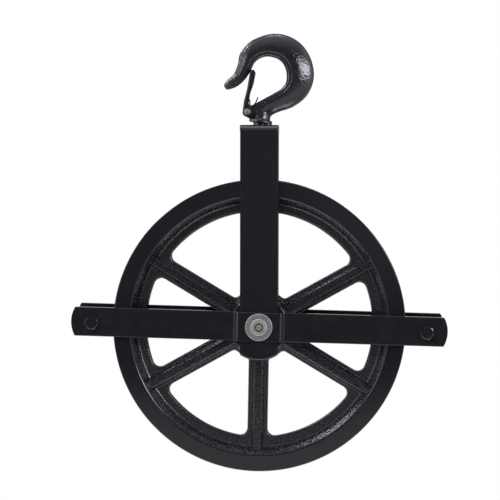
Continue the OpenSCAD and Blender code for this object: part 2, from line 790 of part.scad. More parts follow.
wheel();
wheel_bush();
thrust_washer(1);  // thrust_washer_front
thrust_washer(-1);  // thrust_washer_rear
axle_pin();
axle_washer();
grease_nipple();
yoke();
guard(1);  // guard_front
guard(-1);  // guard_rear
guard_spacer(-1);  // guard_spacer_left
guard_spacer(1);  // guard_spacer_right
guard_bolt(-1, 0);  // guard_bolt_left
guard_bolt(1, -12);  // guard_bolt_right
guard_washer(-1);  // guard_washer_left
guard_washer(1);  // guard_washer_right
guard_nut(-1, 10);  // guard_nut_left
guard_nut(1, 25);  // guard_nut_right
swivel_washer();
hook();
hook_nut();
hook_split_pin();
latch();
latch_pin();
latch_spring();
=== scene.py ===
import math

import bmesh
import bpy
from mathutils import Matrix, Vector


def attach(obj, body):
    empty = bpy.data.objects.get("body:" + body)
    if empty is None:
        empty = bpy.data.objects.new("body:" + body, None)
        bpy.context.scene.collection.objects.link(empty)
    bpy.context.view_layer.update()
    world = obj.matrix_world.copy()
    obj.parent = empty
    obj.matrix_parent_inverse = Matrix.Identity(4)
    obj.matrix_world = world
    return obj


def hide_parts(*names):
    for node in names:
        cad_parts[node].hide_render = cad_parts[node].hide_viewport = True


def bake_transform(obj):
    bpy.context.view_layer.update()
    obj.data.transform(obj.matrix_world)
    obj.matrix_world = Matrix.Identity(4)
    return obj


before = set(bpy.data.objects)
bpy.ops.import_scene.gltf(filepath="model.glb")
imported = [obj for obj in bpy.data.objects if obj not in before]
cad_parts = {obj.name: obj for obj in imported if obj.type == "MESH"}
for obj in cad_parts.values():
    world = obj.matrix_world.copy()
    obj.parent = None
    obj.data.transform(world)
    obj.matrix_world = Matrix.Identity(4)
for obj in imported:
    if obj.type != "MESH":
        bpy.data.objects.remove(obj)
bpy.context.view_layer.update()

# Every piece is drawn in millimetres, as seen from the front: x to the right, y up,
# z towards the viewer. It is stood up and scaled to metres when it is finished.
MM = 0.001

# Sizes of the block, as the CAD source has them
WHEEL_R = 152.4
HALF_W = 21.0
GROOVE_C = 143.0
GROOVE_R = 12.0
GROOVE_FLARE = 12.0
FACE_R = 134.4
CREASE_R = 129.0
WINDOW_R = 119.0
HALF_WEB = 4.5
SPOKES = 6
SPOKE_W = 20.4
RIB_TOP = 11.0
HUB_HALF = 22.0
BOSS_R = 30.5
HUB_RING_R = 36.6
BUSH_OUT_R = 11.05
AXLE_R = 8.0
WHEEL_TURN = 1.0
STRAP_W = 39.4
STRAP_T = 5.0
LEG_IN = 24.0
LEG_OUT = 29.0
YOKE_H = 209.0
FOOT_R = 35.5
GUARD_W = 30.2
GUARD_T = 4.0
GUARD_LOW = 28.0
GUARD_OUT = 33.0
GUARD_HALF = 195.5
GUARD_END_R = 31.0
GUARD_LEAN = 1.5
BOLT_X = 174.0
BOLT_DROP = 1.0
BOLT_AF = 13.0
AXLE_FACE = 36.0
PIVOT_H = 206.5
HOOK_LEAN = 8.5
HOOK_NUT_AF = 21.0
SPLIT_PIN_Z = 21.0
BOWL_H = 57.5
LATCH_PIN = Vector((-15.2, 14.1))
LATCH_TOP = 58.3
LATCH_HALF = 8.6
LATCH_T = 1.4


# ---------------------------------------------------------------- outlines
def polar(angle, radius=1.0):
    a = math.radians(angle)
    return Vector((math.cos(a), math.sin(a))) * radius


def arc(centre, radius, start, end, steps):
    c = Vector(centre)
    return [c + polar(start + (end - start) * i / steps, radius) for i in range(steps + 1)]


def round_corner(before, at, after, radius, step):
    """The arc that takes the place of one corner of an outline."""
    u = (before - at).normalized()
    v = (after - at).normalized()
    half = u.angle(v) / 2
    centre = at + (u + v).normalized() * radius / math.sin(half)
    first = at + u * radius / math.tan(half) - centre
    last = at + v * radius / math.tan(half) - centre
    start = math.degrees(math.atan2(first.y, first.x))
    sweep = math.degrees(math.atan2(last.y, last.x)) - start
    sweep = (sweep + 180) % 360 - 180
    return arc(centre, radius, start, start + sweep, max(2, math.ceil(abs(sweep) / step)))


def rounded(corners, step=12, closed=True):
    """An outline through corners of (x, y, radius), with each corner rounded."""
    points = [Vector(c[:2]) for c in corners]
    out = []
    last = len(points) - 1
    for i, corner in enumerate(corners):
        end = not closed and i in (0, last)
        if corner[2] == 0 or end:
            out.append(points[i])
        else:
            out += round_corner(points[i - 1], points[i], points[(i + 1) % len(points)], corner[2], step)
    return out


def smooth_line(stations, steps):
    """A smooth curve through stations of any number of values."""
    out = []
    count = len(stations)
    for i in range(count - 1):
        a, b = stations[max(i - 1, 0)], stations[i]
        c, d = stations[i + 1], stations[min(i + 2, count - 1)]
        for j in range(steps):
            t = j / steps
            out.append([
                (2 * q + (r - p) * t + (2 * p - 5 * q + 4 * r - s) * t * t
                    + (3 * q - p - 3 * r + s) * t ** 3) / 2
                for p, q, r, s in zip(a, b, c, d)])
    out.append(list(stations[-1]))
    return out


# ---------------------------------------------------------------- shaping
def ring_of(bm, points, closed=True):
    """A chain of edges through points, returned as its edges."""
    verts = [bm.verts.new(p) for p in points]
    pairs = list(zip(verts, verts[1:]))
    if closed:
        pairs.append((verts[-1], verts[0]))
    return [bm.edges.new(pair) for pair in pairs]


def turned(bm, profile, turns=96, closed=False):
    """Spins a profile of (radius, height) round the Z axis."""
    edges = ring_of(bm, [(r, 0, h) for r, h in profile], closed)
    verts = list({v for e in edges for v in e.verts})
    bmesh.ops.spin(bm, geom=verts + edges, axis=(0, 0, 1), cent=(0, 0, 0), angle=math.tau, steps=turns, use_merge=True)


def block(bm, outline, low, high):
    """A flat outline pulled up into a solid from low to high."""
    verts = [bm.verts.new((p[0], p[1], low)) for p in outline]
    face = bm.faces.new(verts)
    top = bmesh.ops.extrude_face_region(bm, geom=[face], use_keep_orig=True)["geom"]
    moved = [v for v in top if isinstance(v, bmesh.types.BMVert)]
    bmesh.ops.translate(bm, verts=moved, vec=(0, 0, high - low))
    return verts + moved


def loft(bm, rings, close_ends=True):
    """Joins rings of the same number of points, and closes both ends."""
    loops = [ring_of(bm, ring) for ring in rings]
    for a, b in zip(loops, loops[1:]):
        bmesh.ops.bridge_loops(bm, edges=a + b)
    if close_ends:
        for loop in (loops[0], loops[-1]):
            bmesh.ops.contextual_create(bm, geom=loop)


def tidy(bm):
    bmesh.ops.remove_doubles(bm, verts=bm.verts, dist=0.0005)
    bmesh.ops.dissolve_degenerate(bm, dist=0.0002, edges=bm.edges)
    bmesh.ops.recalc_face_normals(bm, faces=bm.faces)


def soften(bm, radius, angle=50, segments=3):
    """Rounds every edge that is sharper than angle."""
    tidy(bm)
    sharp = [e for e in bm.edges if e.is_manifold and e.calc_face_angle(0) > math.radians(angle)]
    bmesh.ops.bevel(
        bm, geom=sharp, offset=radius, offset_type="OFFSET", affect="EDGES",
        segments=segments, profile=0.5, material=-1, clamp_overlap=True)


def turn_all(bm, angle, axis):
    turn = Matrix.Rotation(math.radians(angle), 3, axis)
    bmesh.ops.rotate(bm, verts=bm.verts, cent=(0, 0, 0), matrix=turn)


def stand_up(bm):
    """From the front view's axes to the frame's: up is Z, and the viewer is at -Y."""
    turn_all(bm, 90, "X")


def lean_guards(bm):
    """The guards and their bolts lean a little clockwise, seen from the front."""
    turn_all(bm, -GUARD_LEAN, "Z")


def place_at_hook(bm):
    """From the hook's own upright axes to the frame, at the hook's lean."""
    turn_all(bm, HOOK_LEAN, "Y")
    bmesh.ops.translate(bm, verts=bm.verts, vec=(0, 0, PIVOT_H))


def made(name, bm, finish, body, node, sharp=32):
    """The finished piece: in metres, with its material, on its body, in place of its CAD node."""
    tidy(bm)
    bmesh.ops.scale(bm, vec=(MM, MM, MM), verts=bm.verts)
    mesh = bpy.data.meshes.new(name)
    bm.to_mesh(mesh)
    bm.free()
    mesh.shade_smooth()
    mesh.set_sharp_from_angle(angle=math.radians(sharp))
    mesh.materials.append(finish)
    piece = bpy.data.objects.new(name, mesh)
    bpy.context.scene.collection.objects.link(piece)
    if sharp < 180:
        flats = piece.modifiers.new("true_flats", "WEIGHTED_NORMAL")
        flats.keep_sharp = True
    if body:
        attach(piece, body)
    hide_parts(node)
    return piece


def forged(name, bm, voxel, passes):
    """Fuses overlapping solids into one skin with soft joins, as a forging or a pressing has."""
    tidy(bm)
    mesh = bpy.data.meshes.new(name)
    bm.to_mesh(mesh)
    bm.free()
    shape = bpy.data.objects.new(name, mesh)
    bpy.context.scene.collection.objects.link(shape)
    remesh = shape.modifiers.new("fuse", "REMESH")
    remesh.mode = "VOXEL"
    remesh.voxel_size = voxel
    remesh.use_smooth_shade = True
    relax = shape.modifiers.new("relax", "SMOOTH")
    relax.factor = 0.5
    relax.iterations = passes
    graph = bpy.context.evaluated_depsgraph_get()
    fused = bmesh.new()
    fused.from_mesh(shape.evaluated_get(graph).to_mesh())
    bpy.data.objects.remove(shape)
    bpy.data.meshes.remove(mesh)
    return fused


# ---------------------------------------------------------------- finishes
class Finish:
    """A material under way: its shader, and short ways to add what its surface needs."""

    def __init__(self, name, colour, roughness, metallic=0.0, specular=0.5, coat=0.0):
        self.material = bpy.data.materials.new(name)
        self.material.use_nodes = True
        self.tree = self.material.node_tree
        self.shader = self.tree.nodes["Principled BSDF"]
        self.set("Base Color", (*colour, 1))
        self.set("Roughness", roughness)
        self.set("Metallic", metallic)
        self.set("Specular IOR Level", specular)
        self.set("Coat Weight", coat)
        self.where = self.node("ShaderNodeTexCoord").outputs["Object"]
        self.height = None

    def set(self, socket, value):
        self.shader.inputs[socket].default_value = value

    def node(self, kind, **values):
        new = self.tree.nodes.new(kind)
        for key, value in values.items():
            setattr(new, key, value)
        return new

    def link(self, start, end):
        self.tree.links.new(start, end)

    def noise(self, size, detail=2.0, roughness=0.5, distortion=0.0):
        """Cloudy noise whose patches are about size metres across."""
        new = self.node("ShaderNodeTexNoise")
        new.inputs["Scale"].default_value = 1 / size
        new.inputs["Detail"].default_value = detail
        new.inputs["Roughness"].default_value = roughness
        new.inputs["Distortion"].default_value = distortion
        self.link(self.where, new.inputs["Vector"])
        return new.outputs["Fac"]

    def grains(self, size, smoothness=0.3):
        """Rounded grains about size metres across."""
        new = self.node("ShaderNodeTexVoronoi", feature="SMOOTH_F1")
        new.inputs["Scale"].default_value = 1 / size
        new.inputs["Smoothness"].default_value = smoothness
        self.link(self.where, new.inputs["Vector"])
        return new.outputs["Distance"]

    def ramp(self, value, low, high, out_low=0.0, out_high=1.0, smooth=False):
        """value between low and high, carried to between out_low and out_high."""
        new = self.node("ShaderNodeMapRange", clamp=True)
        if smooth:
            new.interpolation_type = "SMOOTHSTEP"
        numbers = (low, high, out_low, out_high)
        for socket, number in zip(("From Min", "From Max", "To Min", "To Max"), numbers):
            new.inputs[socket].default_value = number
        self.link(value, new.inputs["Value"])
        return new.outputs["Result"]

    def maths(self, kind, a, b):
        new = self.node("ShaderNodeMath", operation=kind)
        for socket, value in zip(new.inputs, (a, b)):
            if isinstance(value, (int, float)):
                socket.default_value = value
            else:
                self.link(value, socket)
        return new.outputs["Value"]

    def two_colours(self, share, first, second):
        new = self.node("ShaderNodeMix", data_type="RGBA")
        sockets = [s for s in new.inputs if s.type == "RGBA"]
        sockets[0].default_value = (*first, 1)
        sockets[1].default_value = (*second, 1)
        self.link(share, new.inputs["Factor"])
        colour = [s for s in new.outputs if s.type == "RGBA"][0]
        self.link(colour, self.shader.inputs["Base Color"])

    def drive(self, value, socket):
        self.link(value, self.shader.inputs[socket])

    def bump(self, height, depth, strength=1.0):
        """Relief of about depth metres. A second call adds to the first."""
        new = self.node("ShaderNodeBump")
        new.inputs["Distance"].default_value = depth
        if isinstance(strength, (int, float)):
            new.inputs["Strength"].default_value = strength
        else:
            self.link(strength, new.inputs["Strength"])
        self.link(height, new.inputs["Height"])
        if self.height:
            self.link(self.height, new.inputs["Normal"])
        self.height = new.outputs["Normal"]
        self.link(self.height, self.shader.inputs["Normal"])

    def axis(self, name):
        split = self.node("ShaderNodeSeparateXYZ")
        self.link(self.where, split.inputs["Vector"])
        return split.outputs[name]

    def from_axle(self):
        """Distance from the axle's middle line, in metres."""
        squares = [self.maths("MULTIPLY", self.axis(side), self.axis(side)) for side in "XZ"]
        return self.maths("SQRT", self.maths("ADD", *squares), 0.0)


BLACK = (0.0070, 0.0078, 0.0105)
BLACK_WORN = (0.0088, 0.0094, 0.0116)
# Pale grey of the painted glints speckled over the cast grain
PAINTED_GLINT_GREY = (0.155, 0.157, 0.168)


def cast_paint():
    """Gloss black paint over a sand casting, smooth where the flange faces were turned, with painted glints speckled in
    its colour over the rough cast grain.
    """
    f = Finish("cast_paint", BLACK, 0.2, specular=0.34)
    depth = f.maths("ABSOLUTE", f.axis("Y"), 0.0)
    rough = f.ramp(depth, 0.0200, 0.0206, 1.0, 0.0)
    rough = f.maths("MULTIPLY", rough, f.ramp(f.from_axle(), 0.1338, 0.1346, 1.0, 0.35))
    rib_top = f.maths("MULTIPLY", f.ramp(depth, 0.0102, 0.0107), f.ramp(depth, 0.0112, 0.0116, 1.0, 0.0))
    rough = f.maths("MULTIPLY", rough, f.ramp(rib_top, 0.0, 1.0, 1.0, 0.3))
    slopes = f.maths("MULTIPLY", f.ramp(depth, 0.0047, 0.0065, 0.2, 1.0), rough)
    # Painted glints: pale specks in the colour on the rough cast, sparse on the web, dense on the slopes and more
    # towards the front of the coves
    painted_glint_share = f.maths("MULTIPLY", slopes, f.ramp(depth, 0.0110, 0.0160, 0.63, 1.0))
    glint_specks = f.ramp(f.noise(0.0013, 2, 0.6), 0.54, 0.64)
    f.two_colours(f.maths("MULTIPLY", glint_specks, painted_glint_share), BLACK, PAINTED_GLINT_GREY)
    grain = f.ramp(f.noise(0.0022, 2), 0.35, 0.65, 0.0, 0.14)
    f.drive(f.maths("ADD", f.maths("MULTIPLY", grain, rough), 0.11), "Roughness")
    f.bump(f.noise(0.0015, 2, 0.55), 0.0003, f.maths("MULTIPLY", rough, 0.9))
    f.bump(f.grains(0.0034), 0.0006, f.ramp(slopes, 0.2, 1.0, 0.0, 0.8))
    f.bump(f.noise(0.02, 2), 0.0001, 0.3)
    return f.material


def bar_paint():
    """Gloss black paint over flat bar."""
    f = Finish("bar_paint", BLACK, 0.18, specular=0.34)
    f.two_colours(f.noise(0.05, 3, 0.6), BLACK, BLACK_WORN)
    f.drive(f.ramp(f.noise(0.012, 3), 0.3, 0.7, 0.10, 0.16), "Roughness")
    f.bump(f.noise(0.03, 2), 0.0001, 0.25)
    f.bump(f.noise(0.0012, 1), 0.00002, 0.4)
    return f.material


def bolt_paint():
    f = Finish("fastener_black", (0.0048, 0.0053, 0.0072), 0.13, specular=0.52)
    f.two_colours(f.ramp(f.noise(0.003, 3), 0.4, 0.7), (0.0040, 0.0045, 0.0065), (0.0058, 0.0064, 0.0085))
    f.bump(f.noise(0.0011, 3), 0.00004, 0.5)
    return f.material


def hook_enamel():
    """Glossy black enamel over a forging that is nowhere quite smooth."""
    f = Finish("hook_enamel", (0.009, 0.0104, 0.0146), 0.12, specular=0.5)
    f.two_colours(f.ramp(f.noise(0.004, 3), 0.35, 0.65), (0.0080, 0.0092, 0.0135), (0.0115, 0.013, 0.0175))
    f.drive(f.ramp(f.noise(0.003, 3), 0.3, 0.7, 0.08, 0.15), "Roughness")
    f.bump(f.noise(0.0028, 3, 0.6), 0.0006, 0.6)
    return f.material


def latch_coat():
    f = Finish("latch_black", (0.009, 0.009, 0.011), 0.2, specular=0.34)
    f.two_colours(f.ramp(f.noise(0.004, 3), 0.4, 0.7), (0.0078, 0.0082, 0.0105), (0.0125, 0.013, 0.015))
    f.bump(f.noise(0.002, 3), 0.00006, 0.5)
    return f.material


def zinc_plate(name, low, high, rim=0.0):
    """Dull mottled zinc, between two levels of grey, with a painted highlight ring round the axle beyond rim metres."""
    ring_highlight_grey = 0.44
    f = Finish(name, (high, high, high), 0.45, metallic=0.5)
    share = f.ramp(f.noise(0.0019, 3, 0.7), 0.35, 0.65, 0.0, (high - low) / (ring_highlight_grey - low))
    # Painted highlight: a bright ring in the colour round the axle, where the pin's end and the washer's edge catch the
    # light
    if rim:
        share = f.maths("MAXIMUM", share, f.ramp(f.from_axle(), rim - 0.0004, rim + 0.0002))
    f.two_colours(share, (low, low, low), (ring_highlight_grey, ring_highlight_grey, 0.98 * ring_highlight_grey))
    f.drive(f.ramp(f.noise(0.003, 3), 0.3, 0.7, 0.36, 0.56), "Roughness")
    f.bump(f.noise(0.0009, 3), 0.00008, 0.5)
    return f.material


def plain_steel():
    """Plain steel of the rivet, the split pin and the hidden washers."""
    f = Finish("plain_steel", (0.35, 0.35, 0.36), 0.45, metallic=0.8)
    f.drive(f.ramp(f.noise(0.002, 2), 0.3, 0.7, 0.34, 0.52), "Roughness")
    f.two_colours(f.noise(0.003, 2), (0.28, 0.28, 0.29), (0.42, 0.42, 0.43))
    f.bump(f.noise(0.0008, 2), 0.00003, 0.4)
    return f.material


def spring_wire():
    """Dark oiled wire of the latch spring."""
    f = Finish("spring_wire", (0.05, 0.05, 0.055), 0.35, metallic=0.6)
    f.two_colours(f.noise(0.002, 2), (0.03, 0.03, 0.034), (0.06, 0.06, 0.066))
    f.bump(f.noise(0.0006, 2), 0.00002, 0.4)
    return f.material


def nipple_brass():
    """Dull brass-coloured plate of the grease nipple."""
    f = Finish("nipple_brass", (0.22, 0.19, 0.13), 0.5, metallic=0.6)
    f.two_colours(f.noise(0.0015, 2), (0.17, 0.145, 0.10), (0.27, 0.235, 0.165))
    f.bump(f.noise(0.0008, 2), 0.00005, 0.4)
    return f.material


def bush_bronze():
    """Oiled bronze of the bush in the hub."""
    f = Finish("bush_bronze", (0.40, 0.25, 0.11), 0.4, metallic=0.9)
    f.two_colours(f.noise(0.002, 3), (0.30, 0.18, 0.07), (0.46, 0.30, 0.14))
    f.bump(f.noise(0.0006, 2), 0.00004, 0.4)
    return f.material


# ---------------------------------------------------------------- the wheel
def rim_profile():
    """The rim's closed section: groove, flanges, coves, and a tail inside the web."""
    wall = GROOVE_C - GROOVE_R * math.sin(math.radians(GROOVE_FLARE))
    wall_z = GROOVE_R * math.cos(math.radians(GROOVE_FLARE))
    lip = wall_z + (WHEEL_R - wall) * math.tan(math.radians(GROOVE_FLARE))
    half = arc((GROOVE_C, 0), GROOVE_R, 180, 90 + GROOVE_FLARE, 12)
    half += rounded([
        (wall, wall_z, 0), (WHEEL_R, lip, 1.5), (WHEEL_R, HALF_W, 1.2), (FACE_R, HALF_W, 2.8),
        (CREASE_R, HALF_WEB + 1.1, 1.2), (CREASE_R - 1.6, HALF_WEB, 1.0), (CREASE_R - 4, HALF_WEB - 0.06, 0),
        (CREASE_R - 4, HALF_WEB - 1, 0)
    ], 12, closed=False)[1:]
    other = [Vector((p.x, -p.y)) for p in reversed(half[1:])]
    return half + other


def window_loop(grow):
    """A window's outline about the X axis, larger by grow all round."""
    side = SPOKE_W / 2
    gap = 180 / SPOKES
    r_out, r_in = 8.0, 5.3
    a_out = gap - math.degrees(math.asin((side + r_out) / (WINDOW_R - r_out)))
    a_in = gap - math.degrees(math.asin((side + r_in) / (HUB_RING_R + r_in)))
    upper = arc((0, 0), WINDOW_R + grow, 0, a_out, 14)
    upper += arc(polar(a_out, WINDOW_R - r_out), r_out + grow, a_out, gap + 90, 10)[1:]
    upper += arc(polar(a_in, HUB_RING_R + r_in), r_in + grow, gap + 90, a_in + 180, 8)
    upper += arc((0, 0), HUB_RING_R - grow, a_in, 0, 3)[1:]
    lower = [Vector((p.x, -p.y)) for p in reversed(upper[1:-1])]
    return upper + lower


def window_wall():
    """From the web's front face round its soft edge to the parting line: (growth, height)."""
    edge = 2.2
    out = [(edge * (1 - math.sin(t)), HALF_WEB - edge * (1 - math.cos(t)))
        for t in [math.radians(90 * k / 6) for k in range(7)]]
    return out + [(-0.35, 0.35), (-0.5, 0)]


def add_web(bm):
    """The web with its six windows, each with soft edges, between the hub and the rim."""
    faces = {1: [], -1: []}
    wall = window_wall()
    for k in range(SPOKES):
        spin = Matrix.Rotation(math.radians((k + 0.5) * 360 / SPOKES), 2)
        rows = [(g, h) for g, h in wall] + [(g, -h) for g, h in reversed(wall[:-1])]
        loops = []
        for grow, height in rows:
            ring = [spin @ p for p in window_loop(grow)]
            loops.append(ring_of(bm, [(p.x, p.y, height) for p in ring]))
        for a, b in zip(loops, loops[1:]):
            bmesh.ops.bridge_loops(bm, edges=a + b)
        faces[1] += loops[0]
        faces[-1] += loops[-1]
    for side in (1, -1):
        for radius in (CREASE_R - 2, BOSS_R + 1):
            ring = arc((0, 0), radius, 0, 360, 120)[:-1]
            faces[side] += ring_of(bm, [(p.x, p.y, side * HALF_WEB) for p in ring])
        bmesh.ops.triangle_fill(bm, use_beauty=True, edges=faces[side], normal=(0, 0, side))


def rib_outline():
    """A spoke's ribs seen from the rim: (across, height), front and back alike."""
    half = rounded([
        (9.2, HALF_WEB - 0.12, 0), (6.4, HALF_WEB, 1.8), (3.9, RIB_TOP, 1.6),
        (-3.9, RIB_TOP, 1.6), (-6.4, HALF_WEB, 1.8), (-9.2, HALF_WEB - 0.12, 0)
    ], 18, closed=False)
    return half + [Vector((p.x, -p.y)) for p in reversed(half)]


def add_rib(bm, angle):
    verts = block(bm, rib_outline(), BOSS_R, CREASE_R + 1.2)
    # the rib's top reaches on into the cove, and its foot stops short of the groove
    for v in verts:
        if v.co.z > BOSS_R and abs(v.co.y) > 8:
            v.co.z = CREASE_R + 3.4
    # the outline's height turns to face the viewer, and its length to run out along X
    turn = Matrix(((0, 0, 1), (1, 0, 0), (0, 1, 0)))
    bmesh.ops.rotate(bm, verts=verts, cent=(0, 0, 0), matrix=turn)
    spin = Matrix.Rotation(math.radians(angle), 3, "Z")
    bmesh.ops.rotate(bm, verts=verts, cent=(0, 0, 0), matrix=spin)


def hub_profile():
    half = rounded([
        (BUSH_OUT_R, 0, 0), (BUSH_OUT_R, HUB_HALF, 0.8), (BOSS_R, HUB_HALF, 1.8),
        (BOSS_R + 2.6, HALF_WEB, 2.2), (BOSS_R + 5, HALF_WEB - 0.08, 0), (BOSS_R + 5, 0, 0)
    ], 15, closed=False)
    other = [Vector((p.x, -p.y)) for p in reversed(half[1:-1])]
    return half + other


def make_wheel(finish):
    bm = bmesh.new()
    turned(bm, rim_profile(), 240, closed=True)
    add_web(bm)
    turned(bm, hub_profile(), 96, closed=True)
    for k in range(SPOKES):
        add_rib(bm, k * 360 / SPOKES)
    turn_all(bm, 90 - WHEEL_TURN, "Z")
    stand_up(bm)
    made("wheel_casting", bm, finish, "wheel", "wheel", 28)


def make_bush(finish):
    bm = bmesh.new()
    inner = AXLE_R + 0.05
    turned(bm, [(inner, -HUB_HALF), (BUSH_OUT_R, -HUB_HALF), (BUSH_OUT_R, HUB_HALF), (inner, HUB_HALF)], 64, True)
    stand_up(bm)
    made("hub_bush", bm, finish, "wheel", "wheel_bush")


# ---------------------------------------------------------------- the axle
def make_axle(zinc, dull_zinc, brass, steel):
    bm = bmesh.new()
    face = AXLE_FACE + 2.4
    back = -GUARD_OUT - 5
    turned(bm, rounded([
        (0, back, 0), (14, back, 2), (14, -GUARD_OUT, 0.3), (AXLE_R, -GUARD_OUT, 0), (AXLE_R, AXLE_FACE, 0),
        (8.8, AXLE_FACE, 0.2), (8.8, face, 1.1), (4.6, face, 0.35), (4.5, face - 4.5, 0), (0, face - 4.5, 0)
    ], 15, closed=False), 72)
    stand_up(bm)
    made("axle_pin_turned", bm, zinc, "frame", "axle_pin")
    bm = bmesh.new()
    turned(bm, rounded([
        (AXLE_R + 0.05, GUARD_OUT, 0), (14.1, GUARD_OUT, 0.2), (14.1, AXLE_FACE, 0.7), (AXLE_R + 0.05, AXLE_FACE, 0)
    ], 15), 72, closed=True)
    stand_up(bm)
    made("axle_washer_round", bm, dull_zinc, "frame", "axle_washer")
    bm = bmesh.new()
    turned(bm, rounded([
        (0, face - 4.5, 0), (3.4, face - 4.5, 0), (3.4, face - 1.3, 0.5), (2.6, face - 0.35, 0.6),
        (1.2, face - 0.3, 0.2), (0.9, face - 1.0, 0.1), (0, face - 1.0, 0)
    ], 20, closed=False), 48)
    stand_up(bm)
    made("grease_nipple_head", bm, brass, "frame", "grease_nipple")
    for name, side in (("front", 1), ("rear", -1)):
        bm = bmesh.new()
        low, high = side * (LEG_IN - 1.7), side * (LEG_IN - 0.1)
        turned(bm, rounded([(8.3, low, 0.2), (17, low, 0.3), (17, high, 0.3), (8.3, high, 0.2)], 30), 64, closed=True)
        stand_up(bm)
        made("thrust_ring_" + name, bm, steel, "frame", "thrust_washer_" + name)


# ---------------------------------------------------------------- the yoke
def roll_foot_edges(bm):
    """The press that cut the feet rolled their outer edges over."""
    edges = []
    for e in bm.edges:
        low = all(v.co.y < -FOOT_R * 0.8 for v in e.verts)
        outside = all(abs(v.co.z) > LEG_OUT - 0.1 for v in e.verts)
        if low and outside and e.calc_face_angle(0) > 1:
            edges.append(e)
    bmesh.ops.bevel(
        bm, geom=edges, offset=2.4, offset_type="OFFSET", affect="EDGES", segments=5, profile=0.5, material=-1,
        clamp_overlap=True)


def make_yoke(finish):
    """One flat bar, cut to its rounded foot and bent over: the front half, then its mirror."""
    bm = bmesh.new()
    half = STRAP_W / 2
    bend = 7.5
    hole = 8.5
    foot = math.degrees(math.asin(half / FOOT_R))
    leg = [Vector((half, YOKE_H - bend)), Vector((-half, YOKE_H - bend))]
    leg += arc((0, 0), FOOT_R, 270 - foot, 270 + foot, 16)
    bm.faces.new([bm.verts.new((p.x, p.y, LEG_OUT)) for p in leg])
    steps = 10
    rows = []
    for k in range(steps + 1):
        a = math.radians(90 * k / steps)
        wide = half + 0.45 * math.sin(2 * a)
        y = YOKE_H - bend + bend * math.sin(a)
        z = LEG_OUT - bend + bend * math.cos(a)
        rows.append([bm.verts.new((-wide, y, z)), bm.verts.new((wide, y, z))])
    for a, b in zip(rows, rows[1:]):
        bm.faces.new((a[0], a[1], b[1], b[0]))
    z = LEG_OUT - bend
    plate = [(-half, z), (half, z), (half, 0)] + [tuple(p) for p in arc((0, 0), hole, 0, 180, 24)] + [(-half, 0)]
    bm.faces.new([bm.verts.new((p[0], YOKE_H, p[1])) for p in plate])
    tidy(bm)
    bmesh.ops.mirror(bm, geom=bm.verts[:] + bm.edges[:] + bm.faces[:], axis="Z", merge_dist=0.001)
    tidy(bm)
    outward = sum((f.normal.dot(f.calc_center_median()) for f in bm.faces)) > 0
    bmesh.ops.solidify(bm, geom=bm.faces[:], thickness=STRAP_T if outward else -STRAP_T)
    roll_foot_edges(bm)
    soften(bm, 0.9, 60, 3)
    stand_up(bm)
    made("yoke_bar", bm, finish, "frame", "yoke", 40)


# ---------------------------------------------------------------- the guards
def guard_line():
    """The guard's outer face seen from above: (along, towards the viewer)."""
    return rounded([
        (-185, GUARD_LOW, 0), (-26.0, GUARD_LOW, 2.0), (-22.5, GUARD_OUT, 4.2),
        (22.5, GUARD_OUT, 4.2), (26.0, GUARD_LOW, 2.0), (185, GUARD_LOW, 0)
    ], 8, closed=False)


def make_guard(name, side, finish):
    bm = bmesh.new()
    half = GUARD_W / 2
    line = guard_line()
    rows = [[bm.verts.new((p.x, -half, p.y)), bm.verts.new((p.x, half, p.y))] for p in line]
    for a, b in zip(rows, rows[1:]):
        bm.faces.new((a[0], b[0], b[1], a[1]))
    rise = math.degrees(math.asin(half / GUARD_END_R))
    middle = GUARD_HALF - GUARD_END_R
    for way, row in ((1, rows[-1]), (-1, rows[0])):
        bow = arc((middle, 0), GUARD_END_R, -rise, rise, 14)
        tip = [bm.verts.new((way * p.x, p.y, GUARD_LOW)) for p in bow]
        bm.faces.new([row[0]] + tip + [row[1]])
    bmesh.ops.recalc_face_normals(bm, faces=bm.faces)
    outward = bm.faces[0].normal.z > 0
    bm.faces.ensure_lookup_table()
    bmesh.ops.solidify(bm, geom=bm.faces[:], thickness=GUARD_T if outward else -GUARD_T)
    soften(bm, 0.7, 60, 3)
    bmesh.ops.scale(bm, vec=(1, 1, side), verts=bm.verts)
    lean_guards(bm)
    stand_up(bm)
    made("guard_bar_" + name, bm, finish, "frame", "guard_" + name, 30)


# ---------------------------------------------------------------- bolts and nuts
def hexagon(af, angle):
    """Distance from the middle to a hexagon's side, at angle from one of its corners."""
    return af / 2 / math.cos(math.radians((angle % 60) - 30))


def add_hex(bm, af, low, high, twist, low_cut, high_cut):
    """A hexagon with its corners turned off at its low or high end, or at both."""
    flat = af / 2 * 0.83
    steps = 72
    rows = []
    for end, cut, sign in ((low, low_cut, 1), (high, high_cut, -1)):
        angles = [360 * k / steps for k in range(steps)]
        side = []
        top = []
        for a in angles:
            r = hexagon(af, a)
            drop = (r - flat) * 0.5 if cut else 0.0
            p = polar(a + twist, r)
            q = polar(a + twist, flat if cut else r * 0.97)
            side.append((p.x, p.y, end + sign * drop))
            top.append((q.x, q.y, end))
        rows += [top, side] if sign == 1 else [side, top]
    loft(bm, rows)


def place_bolt(bm, side):
    bmesh.ops.translate(bm, verts=bm.verts, vec=(side * BOLT_X, -BOLT_DROP, 0))
    lean_guards(bm)
    stand_up(bm)


def threaded_end(radius, start, end):
    """Profile of a bolt's thread from start down to its chamfered end."""
    pitch = 1.25
    out = []
    z = start
    while z - pitch > end + 1:
        out += [(radius, z), (radius - 0.55, z - pitch / 2)]
        z -= pitch
    return out + [(radius, z), (radius, end + 0.9), (radius - 0.9, end), (0, end)]


